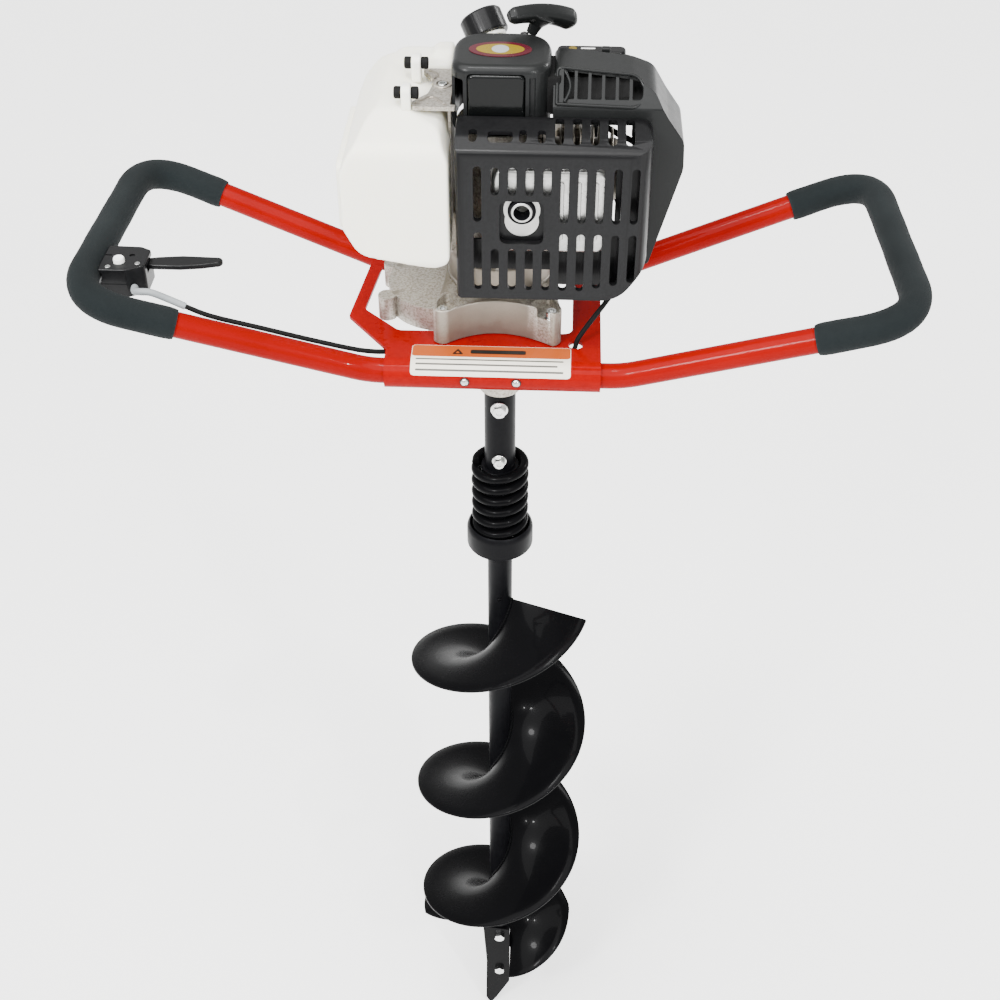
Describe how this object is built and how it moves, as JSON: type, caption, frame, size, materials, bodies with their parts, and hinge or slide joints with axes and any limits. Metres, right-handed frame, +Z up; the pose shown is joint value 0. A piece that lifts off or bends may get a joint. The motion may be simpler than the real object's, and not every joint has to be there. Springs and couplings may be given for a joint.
{
  "type": "power ice auger",
  "caption": "Petrol power auger with two U-shaped handles, recoil-start engine, gearcase, spring shock drive and a right-hand helical bit with a fish-tail point.",
  "frame": {"origin": "on the output shaft axis, level with the centre lines of the handle tubes where they pass through the bracket", "axes": "+Z up along the drive axis, +X to the right of the side that the muffler and label face, +Y to the back"},
  "size_m": [0.7236, 0.2604, 1.3847],
  "materials": {
    "red_powder_coat": "gloss powder coat",
    "foam_grip": "matte foam",
    "cast_aluminium": "as cast",
    "black_plastic": "satin moulded",
    "black_paint": "gloss enamel",
    "machined_steel": "ground",
    "zinc_plate": "bright zinc",
    "milky_tank": "translucent blow-moulded",
    "black_rubber": "matte",
    "white_plastic": "gloss"
  },
  "bodies": {
    "frame": {"mount_bracket": "red_powder_coat", "handle_tube_left": "red_powder_coat", "handle_tube_right": "red_powder_coat", "grip_left": "foam_grip", "grip_right": "foam_grip", "gear_housing": "cast_aluminium", "gear_housing_lower": "cast_aluminium", "clutch_housing": "cast_aluminium", "crankcase": "cast_aluminium", "cylinder": "cast_aluminium", "tank_bracket": "cast_aluminium", "carburettor": "cast_aluminium", "muffler_guard": "black_plastic", "engine_cover": "black_plastic", "recoil_cover": "black_plastic", "air_cleaner_cover": "black_plastic", "throttle_housing": "black_plastic", "countershaft_bush_lower": "machined_steel", "countershaft_bush_upper": "machined_steel", "input_bearing": "machined_steel", "output_bearing_upper": "machined_steel", "output_bearing_lower": "machined_steel", "crank_bearing": "machined_steel", "muffler": "machined_steel", "handle_rivet_1": "zinc_plate", "handle_rivet_2": "zinc_plate", "fuel_tank": "milky_tank", "tank_buffer_front": "black_rubber", "tank_buffer_rear": "black_rubber", "throttle_cable": "black_rubber", "spark_plug": "white_plastic"},
    "drive": {"output_shaft": "machined_steel", "output_gear": "machined_steel", "drive_tube": "black_paint", "shaft_bolt_upper": "zinc_plate", "shaft_bolt_lower": "zinc_plate", "shock_spring": "black_paint"},
    "bit": {"bit_stem": "black_paint", "main_flight": "black_paint", "second_flight": "black_paint", "spring_cup": "black_paint", "point_blade": "black_paint", "blade_bolt_1": "zinc_plate", "blade_bolt_2": "zinc_plate"},
    "countershaft": {"countershaft": "machined_steel", "countershaft_gear": "machined_steel"},
    "clutch_output": {"clutch_drum": "machined_steel"},
    "engine_rotor": {"crankshaft_lower": "machined_steel", "crankshaft_upper": "machined_steel", "flywheel": "cast_aluminium", "clutch_shoes": "machined_steel"},
    "piston": {"piston": "machined_steel", "connecting_rod": "machined_steel"},
    "starter_handle": {"starter_handle": "black_plastic"},
    "starter_pulley": {"starter_pulley": "black_plastic"},
    "throttle_lever": {"throttle_lever": "black_plastic"},
    "stop_button": {"stop_button": "white_plastic"},
    "fuel_cap": {"fuel_cap": "black_plastic"},
    "choke_lever": {"choke_lever": "black_plastic"},
    "primer_bulb": {"primer_bulb": "black_rubber"}
  },
  "joints": [
    {"name": "output_spin", "type": "hinge", "parent": "frame", "child": "drive", "pos_m": [0, 0, 0], "axis": [0, 0, 1], "continuous": true},
    {"name": "shock_slide", "type": "slide", "parent": "drive", "child": "bit", "axis": [0, 0, 1], "range_m": [0, 0.018], "stiffness_N_per_m": 6000, "springref_m": -0.005, "deforming": ["shock_spring"]},
    {"name": "countershaft_spin", "type": "hinge", "parent": "frame", "child": "countershaft", "pos_m": [-0.0504, 0, 0], "axis": [0, 0, 1], "continuous": true},
    {"name": "clutch_output_spin", "type": "hinge", "parent": "frame", "child": "clutch_output", "pos_m": [0, 0, 0.05], "axis": [0, 0, 1], "continuous": true},
    {"name": "engine_spin", "type": "hinge", "parent": "frame", "child": "engine_rotor", "pos_m": [0, 0, 0.1], "axis": [0, 0, 1], "continuous": true},
    {"name": "piston_slide", "type": "slide", "parent": "frame", "child": "piston", "axis": [1, 0, 0], "range_m": [-0.034, 0]},
    {"name": "starter_pull", "type": "slide", "parent": "frame", "child": "starter_handle", "axis": [0.4502, 0.1, 0.8873], "range_m": [0, 0.6], "stiffness_N_per_m": 20, "springref_m": -0.1},
    {"name": "starter_pulley_spin", "type": "hinge", "parent": "frame", "child": "starter_pulley", "pos_m": [0, 0, 0.22], "axis": [0, 0, 1], "range_deg": [0, 1210]},
    {"name": "throttle_squeeze", "type": "hinge", "parent": "frame", "child": "throttle_lever", "pos_m": [-0.311, -0.06, 0.083], "axis": [0, 0, 1], "range_deg": [0, 45], "stiffness_Nm_per_rad": 0.2, "springref_deg": -17.19},
    {"name": "stop_press", "type": "slide", "parent": "frame", "child": "stop_button", "axis": [0, 0, -1], "range_m": [0, 0.003], "stiffness_N_per_m": 400, "springref_m": -0.001},
    {"name": "fuel_cap_lift", "type": "slide", "parent": "frame", "child": "fuel_cap", "axis": [-0.4194, 0.5792, 0.699], "range_m": [0, 0.03]},
    {"name": "choke_tilt", "type": "hinge", "parent": "frame", "child": "choke_lever", "pos_m": [0.0865, 0.038, 0.2292], "axis": [-1, 0, 0], "range_deg": [0, 50]},
    {"name": "primer_press", "type": "slide", "parent": "frame", "child": "primer_bulb", "axis": [-1, 0, 0], "range_m": [0, 0.004], "stiffness_N_per_m": 300, "springref_m": -0.001}
  ],
  "couplings": [
    {"joint": "countershaft_spin", "follows": "output_spin", "ratio": -5},
    {"joint": "clutch_output_spin", "follows": "output_spin", "ratio": 25},
    {"joint": "starter_pulley_spin", "follows": "starter_pull", "rad_per_m": 35}
  ]
}
